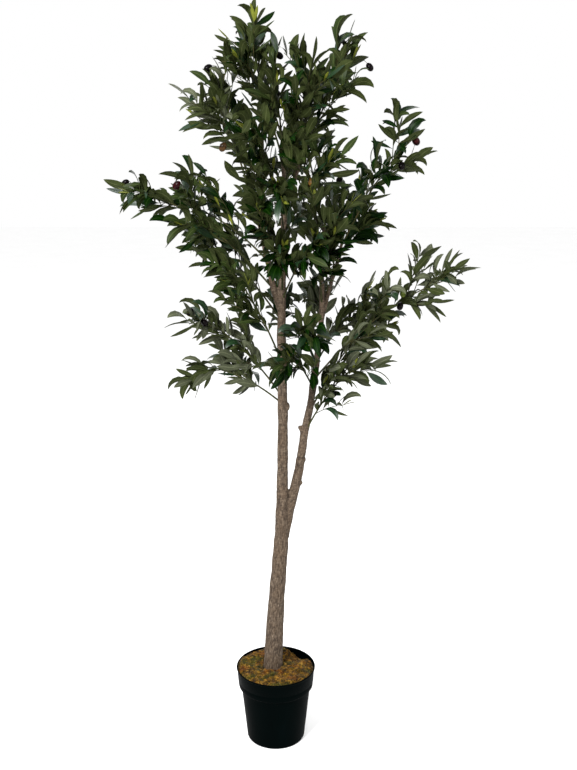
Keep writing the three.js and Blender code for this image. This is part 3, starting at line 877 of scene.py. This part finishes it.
def bark_material():
    """Fibres low on the trunk that turn into rings higher up, furrows in painted shade, small pits.
    """
    nodes = Nodes("bark")
    fibres = nodes.noise(scale=260, detail=5, rough=0.7, source=nodes.scaled(1, 1, 0.3))
    rings = nodes.noise(scale=330, detail=4, rough=0.6, source=nodes.scaled(0.3, 0.3, 1.2))
    upper = nodes.ramp(nodes.split(nodes.place)[2], (0.42, 0.2), (0.62, 0.55))
    grain = nodes.mix(upper, fibres, rings)
    pale = nodes.tones(grain, (0.36, (38, 30, 23)), (0.5, (75, 63, 51)), (0.64, (108, 95, 81)))
    patches = nodes.ramp(nodes.noise(scale=30, detail=4), (0.4, 0.0), (0.7, 0.5))
    # The deeper the furrow, the darker the colour: partly the bark's own darker grooves, partly
    # painted shade
    furrow = nodes.attribute("furrow")
    furrow_shade = nodes.ramp(furrow, (0.25, 0.0), (0.9, 0.75))
    holes = nodes.noise(scale=520, detail=2, rough=0.5, source=nodes.scaled(1, 1, 0.7))
    pits = nodes.ramp(holes, (0.3, 0.85), (0.37, 0.0))
    color = nodes.mix(patches, pale, (70, 55, 40))
    color = nodes.mix(furrow_shade, color, (34, 26, 19))
    color = nodes.mix(pits, color, (26, 19, 13))
    relief = nodes.math("ADD", grain, nodes.math("MULTIPLY", furrow, -0.6))
    return nodes.finish(color, relief, 0.55, 0.0012, (grain, 0.72, 0.92), Specular_IOR_Level=0.2)


def pot_material():
    nodes = Nodes("pot_plastic")
    smears = nodes.noise(scale=9, detail=5, rough=0.6, source=nodes.scaled(1, 1, 0.4))
    color = nodes.tones(smears, (0.35, (1, 3, 3)), (0.6, (1, 4, 4)), (0.8, (2, 6, 7)))
    grain = nodes.noise(scale=1400, detail=2)
    return nodes.finish(color, grain, 0.18, 0.0005, (smears, 0.36, 0.55), Specular_IOR_Level=0.006)


def fill_material():
    nodes = Nodes("cast_fill")
    grain = nodes.noise(scale=220, detail=6, rough=0.7)
    color = nodes.tones(grain, (0.35, (104, 100, 92)), (0.65, (158, 154, 146)))
    return nodes.finish(color, grain, 0.5, 0.0015, (grain, 0.85, 0.98))


def moss_material(name, light):
    """Golden moss with rusty and green patches, scaled by light: painted shade below 1, painted
    light above 1.
    """
    nodes = Nodes(name)
    broad = nodes.noise(scale=26, detail=4, rough=0.6)
    small = nodes.noise(scale=105, detail=5, rough=0.7)
    gold = nodes.tones(small, (0.34, (16, 9, 0)), (0.46, (60, 40, 3)), (0.56, (104, 74, 12)),
                       (0.68, (158, 122, 46)), light=light)
    rust = nodes.tones(small, (0.35, (60, 26, 4)), (0.7, (122, 66, 17)), light=light)
    green = nodes.tones(small, (0.35, (32, 31, 3)), (0.7, (84, 80, 20)), light=light)
    rusty = nodes.mix(nodes.ramp(broad, (0.54, 0.0), (0.64, 0.6)), gold, rust)
    color = nodes.mix(nodes.ramp(broad, (0.4, 0.85), (0.49, 0.0)), rusty, green)
    sheen = {"Sheen_Weight": 0.06, "Sheen_Roughness": 0.5}
    return nodes.finish(color, small, 0.7, 0.002, Roughness=0.95, Specular_IOR_Level=0.1, **sheen)


def floor_material():
    nodes = Nodes("pale_floor")
    patches = nodes.noise(scale=3, detail=3)
    color = nodes.ramp(patches, (0.3, (0.86, 0.86, 0.86)), (0.7, (0.88, 0.88, 0.88)))
    glow = {"Emission_Color": (1.0, 1.0, 1.0, 1), "Emission_Strength": 0.1}
    return nodes.finish(color, None, 0, 0, Roughness=0.9, Specular_IOR_Level=0.1, **glow)


# Trunk and boughs: smooth tubes and stubs, run together and given their relief
def limb_parts():
    for name, curve in limb_curves.items():
        length = norm(np.diff(limb_lines[name], axis=0), axis=1).sum()
        points = spaced(curve, int(length / BARK.step))
        yield tube(points, limb_radius(name, points[:, 2]), BARK.sides, flat_start=True)
    for limb, height, azimuth, rise, length, diameter in STUBS:
        start = limb_point(limb, height)
        out = direction_of(azimuth, rise)
        reach = limb_radius(limb, height) + length
        parts = np.linspace(0, 1, BARK.stub_rings)
        flare = np.clip(1 - parts * reach / (reach - length / 2), 0, 1)
        radii = diameter / 2 * (1 + STUB_FLARE * flare)
        yield tube(start + np.outer(parts * reach, out), radii, BARK.stub_sides)
    out = direction_of(KNOB.azimuth, 0)
    inward = limb_radius("trunk", KNOB.height) - KNOB.width / 2 + KNOB.out / 2
    middle = limb_point("trunk", KNOB.height) + out * inward
    parts = np.linspace(-0.98, 0.98, BARK.knob_rings)
    points = middle + np.outer(parts * KNOB.tall / 2, UP)
    yield tube(points, KNOB.width / 2 * np.sqrt(1 - parts**2), BARK.stub_sides)


def bark_piece(material):
    bundle = Bundle()
    for points, faces in limb_parts():
        bundle.add(points, faces)
    piece = bundle.piece("bark", [material], "bark")
    remesh = piece.modifiers.new("run_together", "REMESH")
    remesh.mode = "VOXEL"
    remesh.voxel_size = BARK.voxel * METRE
    smooth = piece.modifiers.new("soften", "SMOOTH")
    smooth.factor, smooth.iterations = BARK.soften
    depsgraph = bpy.context.evaluated_depsgraph_get()
    mesh = bpy.data.meshes.new_from_object(piece.evaluated_get(depsgraph))
    piece.modifiers.clear()
    old = piece.data
    piece.data = mesh
    bpy.data.meshes.remove(old)
    mesh.name = "bark"
    relief(piece)
    make_smooth(mesh)
    return piece


def nearest_limbs(points):
    """Each point's offset from the axis of its nearest limb, and that limb's number."""
    offsets = np.zeros((len(points), 2))
    limbs = np.zeros(len(points))
    nearest = np.full(len(points), np.inf)
    for number, (name, stations) in enumerate(LIMBS.items()):
        heights = np.linspace(stations[0][2], stations[-1][2], BARK.axis_points)
        line = np.array([limb_point(name, height) for height in heights])
        axis = np.stack([np.interp(points[:, 2], line[:, 2], line[:, k]) for k in (0, 1)], axis=1)
        low, high = line[0, 2], line[-1, 2]
        beyond = np.clip(low - points[:, 2], 0, None) + np.clip(points[:, 2] - high, 0, None)
        away = norm(points[:, :2] - axis, axis=1) + BARK.beyond * beyond
        away -= limb_radius(name, points[:, 2])
        closer = away < nearest
        nearest[closer] = away[closer]
        offsets[closer] = (points[:, :2] - axis)[closer]
        limbs[closer] = number
    return offsets, limbs


def relief(piece):
    """Furrows along each limb, slow lumps, and the ring on the right bough."""
    mesh = piece.data
    points, normals = np.empty((2, len(mesh.vertices) * 3))
    mesh.vertices.foreach_get("co", points)
    mesh.vertex_normals.foreach_get("vector", normals)
    points = points.reshape(-1, 3) / METRE
    normals = normals.reshape(-1, 3)
    offsets, limbs = nearest_limbs(points)
    furrows, heights = np.empty((2, len(points)))
    for i, ((x, y), limb, z) in enumerate(zip(offsets, limbs, points[:, 2])):
        shift = BARK.apart * limb

        def rough(lengths, shift_x, shift_y):
            across, along = lengths
            return noise.noise(Vector((x / across + shift_x, y / across + shift_y, z / along)))

        def dug(value, steep, depth):
            return max(0.0, 1 - abs(value) * steep) * depth

        wide = rough(BARK.wide, shift, 0)
        fine = rough(BARK.fine, 0, shift)
        lump = rough(BARK.lumps, 0, shift)
        groove = dug(wide, *BARK.wide_groove) + dug(fine, *BARK.fine_groove)
        furrows[i] = groove
        heights[i] = BARK.lump * lump + BARK.swell * wide - BARK.furrow * groove
    on_bough = limbs == list(LIMBS).index(RING.limb)
    above = points[:, 2] - RING.height
    ring = np.exp(-((above / RING.half) ** 2)) * on_bough
    groove = np.exp(-(((above - GROOVE.above) / GROOVE.half) ** 2)) * on_bough
    outer = np.clip(offsets[:, 0] / 10, 0, 1)
    heights += RING.out * ring * lerp(RING.inner, 1, outer) - GROOVE.depth * groove
    furrows += groove
    moved = (points + normals * heights[:, None]) * METRE
    mesh.vertices.foreach_set("co", moved.ravel())
    # Depths of the furrows and of the groove above the ring, which the bark darkens partly as
    # painted shade
    add_attribute(piece, "furrow", np.clip(furrows, 0, 1))


# Pot
def beside(radius, height, *steps):
    return [(radius + out, height + up) for out, up in steps]


def pot_profile():
    """Radius and height, from the middle of the underside round the rim to the inside floor."""
    base, wall, floor = POT.base_radius, POT.wall, POT.floor
    shoulder, band, rim = POT.shoulder_radius, POT.band_radius, POT.rim_radius
    low, high, top = POT.shoulder_height, POT.band_height, POT.height
    slope = (shoulder - base) / low
    return [
        (0, 0), (base * 0.5, 0),
        *beside(base, 0, (-5.2, 0), (-4.2, 0), (-2.6, 0.35), (-1.1, 1.4), (-0.3, 2.8),
                (slope * 4.4, 4.4), (slope * 6, 6)),
        *((lerp(base, shoulder, part), low * part) for part in (0.33, 0.66)),
        *beside(shoulder, low, (-slope * 3, -3), (-slope * 0.6, -0.6), (0.8, 0.7)),
        *beside(band, high, (-1.5, -1.6), (-0.3, -0.5), (0, 0.9), (0.4, 4), (1.35, 13),
                (1.1, 13.8), (1.2, 14.6), (1.75, 15.4)),
        *beside(rim, top, (-1.9, -6.5), (-1.5, -5), (-0.5, -4.2), (0, -3), (0, -1.4),
                (-0.5, -0.35), (-1.4, 0), (-2.2, -0.2), (-wall - 0.3, -1.2), (-wall - 0.6, -5)),
        *beside(band - wall, high, (0, 1), (-1, -0.6)),
        *beside(shoulder - wall, low, (0.8, 1.4), (0, 0)),
        (base - wall + 1, floor), (0, floor),
    ]


# Moss
def inside_radius(height):
    low, high = POT.shoulder_height, POT.band_height
    if height < low:
        return lerp(POT.base_radius, POT.shoulder_radius, height / low) - POT.wall
    part = (height - high) / (POT.height - high)
    return lerp(POT.band_radius, POT.rim_radius - 0.4, part) - POT.wall


def moss_top(x, y):
    radius, angle = hypot(x, y), math.atan2(y, x)
    rim = radius / POT.rim_radius
    lumps = sin(3 * angle + 0.05 * radius) + cos(5 * angle - 0.09 * radius)
    turn = (angle - radians(MOSS.dip_angle)) / MOSS.dip_width
    dip = math.exp(-(turn**2)) * rim**3
    heap = max(0, cos(angle - radians(MOSS.heap_angle))) * rim**2
    height = MOSS.height + MOSS.crown * (1 - rim) + MOSS.heap * heap
    return height + MOSS.lumps * lumps * rim - MOSS.dip_depth * dip


def moss_height(x, y):
    (tuft, tuft_height), (crumb, crumb_height) = MOSS.tuft, MOSS.crumb
    width, drop = MOSS.edge
    tufts = noise.fractal(Vector((x / tuft, y / tuft, 3.7)), *MOSS.fractal)
    crumbs = noise.noise(Vector((x / crumb, y / crumb, 8.1)))
    inside = min(1.0, (inside_radius(MOSS.height) - hypot(x, y)) / width)
    rough = tuft_height * tufts + crumb_height * crumbs
    return moss_top(x, y) + rough - drop * (1 - max(0.0, inside)) ** 2


def moss_bed(material):
    bottom, top = FILL_TOP + MOSS.gap, MOSS.height
    low = top - MOSS.skirt
    below, side, radius = (inside_radius(height) - MOSS.margin for height in (bottom, low, top))
    profile = [(0, bottom), (below, bottom), (side, low)]
    profile += [(radius * (1 - i / MOSS.rings), top) for i in range(MOSS.rings)]
    points, faces = turned(profile + [(0, top)], MOSS.segments)
    for point in points:
        if point[2] == top:
            point[2] = moss_height(point[0], point[1])
    return new_piece("moss_bed", points, faces, [material], "moss")


def moss_strands(material):
    """Curled fibres that lie over the bed."""
    bundle = Bundle()
    draw = seeded(SEEDS.strands)
    reach = inside_radius(MOSS.height) - STRANDS.edge
    foot = limb_point("trunk", MOSS.height)
    for _ in range(STRANDS.count):
        radius, angle = reach * sqrt(draw()), 2 * pi * draw()
        x, y = radius * cos(angle), radius * sin(angle)
        turn, curl = 2 * pi * draw(), (draw() - 0.5) * STRANDS.curl
        spans = STRANDS.step, STRANDS.lift, STRANDS.thick
        step, lift, thick = (lerp(*span, draw()) for span in spans)
        points = []
        for i in range(STRANDS.steps + 1):
            to_trunk = hypot(x - foot[0], y - foot[1])
            if hypot(x, y) > reach or to_trunk < STRANDS.trunk:
                break
            rise = lift * sin(pi * i / STRANDS.steps)
            points.append((x, y, moss_height(x, y) + rise))
            x, y = x + step * cos(turn), y + step * sin(turn)
            turn += curl * (0.4 + draw())
        count = len(points)
        if count < STRANDS.least:
            continue
        parts = [(i + 0.6) / (count + 0.2) for i in range(count)]
        radii = [thick * sin(pi * part) + 0.08 for part in parts]
        bundle.add(*tube(points, radii, STRANDS.sides))
    return bundle.piece("moss_strands", [material], "moss")


# Olives
def olive_form(place, axis, length, diameter):
    """An olive with a slight point at its free end."""
    side = unit(np.cross(axis, (0.3, 0.9, 0.2)))
    around = circle(side, np.cross(axis, side), OLIVE.sides)
    half = axis * length / 2
    rings = []
    for part in np.linspace(-1, 1, OLIVE.rings + 1)[1:-1]:
        at = sin(part * pi / 2)
        radius = diameter / 2 * sqrt(1 - at**2) * (1 + OLIVE.swell * at)
        rings.append(place + half * at + around * radius)
    return ringed(place - half, rings, place + half * OLIVE.point, OLIVE.sides)


def nearest_on(point, line):
    starts, steps = line[:-1], np.diff(line, axis=0)
    part = np.einsum("sk,sk->s", point - starts, steps) / np.einsum("sk,sk->s", steps, steps)
    feet = starts + steps * np.clip(part, 0, 1)[:, None]
    return feet[norm(feet - point, axis=1).argmin()]


# The tree
leaf_tones = [leaf_material(name, *tone) for name, tone in TONES.items()]
skins = [olive_material(name, *skin) for name, skin in SKINS.items()]
wire = wire_material()

# Sprays are joined into a few pieces, each side of the crown its own
GROUPS = {
    "left": "low_left_high low_left_low mid_left mid_left_back left_arm_low left_arm left_arm_high",
    "upper_left": "upper_left upper_left_high upper_left_front upper_left_back",
    "top": "top_left top top_right top_back crown_front crown_back far_top_right upper_right "
           "upper_right_back",
    "heart": "heart_front heart_front_low heart_low heart_back heart_mid heart_mid_left "
             "heart_mid_right between between_low",
    "right": "right_front right_back right_arm right_arm_low right_side right_low far_right "
             "mid_right low_right mid_right_back",
}
grown = {spray.name: grow(spray) for spray in sprays}
twig_bundle, fruit_bundle, stalk_bundle = Bundle(), Bundle(), Bundle()
for spray in sprays:
    radii = np.linspace(WIRE.stem, WIRE.stem_tip, len(spray.smooth))
    twig_bundle.add(*tube(spray.smooth, radii, WIRE.stem_sides))
    for _, drawn in grown[spray.name][0]:
        radii = np.linspace(WIRE.twig, WIRE.twig_tip, len(drawn))
        twig_bundle.add(*tube(drawn, radii, WIRE.sides))

for index, (x, y, height, skin) in enumerate(OLIVES):
    draw = seeded(SEEDS.olive + index)
    place = np.array((x, y, height), dtype=float)
    spray = sprays[int(distances(place[None], spray_segments)[0].argmin())]
    lines = [spray.smooth] + [drawn for _, drawn in grown[spray.name][0]]
    feet = [nearest_on(place, line) for line in lines]
    root = min(feet, key=lambda foot: norm(foot - place))
    stray = np.array((draw() - 0.5, draw() - 0.5, 0)) * OLIVE.stray
    axis = unit(unit(place - root) - UP * OLIVE.fall + stray)
    grown_by = OLIVE.red if skin == "red" else 1
    length, diameter = OLIVE.length * grown_by, OLIVE.diameter * grown_by
    fruit_bundle.add(*olive_form(place, axis, length, diameter), list(SKINS).index(skin))
    stalk = arched(root, place - axis * length * OLIVE.sunk, OLIVE.stalk_arch, 8)
    stalk_bundle.add(*tube(stalk, [WIRE.stalk] * len(stalk), WIRE.sides))

for group, members in GROUPS.items():
    names = members.split()
    bundle = Bundle()
    for name in names:
        for leaf in grown[name][1]:
            add_leaf(bundle, leaf)
    piece = bundle.piece("leaves_" + group, leaf_tones, "foliage")
    piece.data.set_sharp_from_angle(angle=radians(LEAF.sharp))
    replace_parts(piece, *["foliage_" + name for name in names])
twig_bundle.piece("twigs", [wire], "foliage")
fruit_bundle.piece("olives", skins, "foliage")
stalk_bundle.piece("olive_stalks", [wire], "foliage")

bark = bark_piece(bark_material())
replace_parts(bark, *LIMBS)
pot = new_piece("pot_shell", *turned(pot_profile(), POT.segments), [pot_material()], "pot")
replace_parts(pot, "pot")
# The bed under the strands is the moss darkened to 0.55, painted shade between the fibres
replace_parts(moss_bed(moss_material("dyed_moss_painted_shade", 0.55)), "moss")
# The strands are the moss made paler by 1.15, painted light on their lit tops
moss_strands(moss_material("dyed_strands_painted_light", 1.15))
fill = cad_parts["fill"]
cast = fill_material()
if fill.material_slots:
    for material_slot in fill.material_slots:
        material_slot.material = cast
else:
    fill.data.materials.append(cast)

# Floor, light and camera
FLOOR_HALF = 14
floor_mesh = bpy.data.meshes.new("floor")
corners = [(x * FLOOR_HALF, y * FLOOR_HALF, 0) for x, y in ((-1, -1), (1, -1), (1, 1), (-1, 1))]
floor_mesh.from_pydata(corners, [], [(0, 1, 2, 3)])
floor_mesh.materials.append(floor_material())
floor = linked("floor", floor_mesh)

world = bpy.data.worlds.new("studio")
world.use_nodes = True
background = world.node_tree.nodes["Background"].inputs
background["Color"].default_value = (1, 1, 1, 1)
background["Strength"].default_value = 1.0
scene.world = world

# Lights: place, the height each points at on the axis, diameter, power
LIGHTS = {
    "key": ((-1.6, -2.6, 3.1), 1.1, 1.0, 250),
    "fill_right": ((2.4, -1.8, 2.0), 1.0, 1.8, 40),
    "rim_back": ((0.6, 2.6, 2.8), 1.3, 1.8, 30),
}
for name, (place, aim, size, power) in LIGHTS.items():
    data = bpy.data.lights.new(name, "AREA")
    data.shape = "DISK"
    data.size = size
    data.energy = power
    light = linked(name, data)
    light.location = place
    light.rotation_euler = (Vector((0, 0, aim)) - Vector(place)).to_track_quat("-Z", "Y").to_euler()

camera_data = bpy.data.cameras.new("camera")
camera_data.sensor_width = SENSOR
camera_data.lens = CAMERA.focal_pixels / IMAGE_HEIGHT * SENSOR
camera = linked("camera", camera_data)
camera.location = CAMERA.place
camera.rotation_euler = (radians(CAMERA.tilt), 0, 0)
scene.camera = camera
scene.view_settings.view_transform = "Standard"
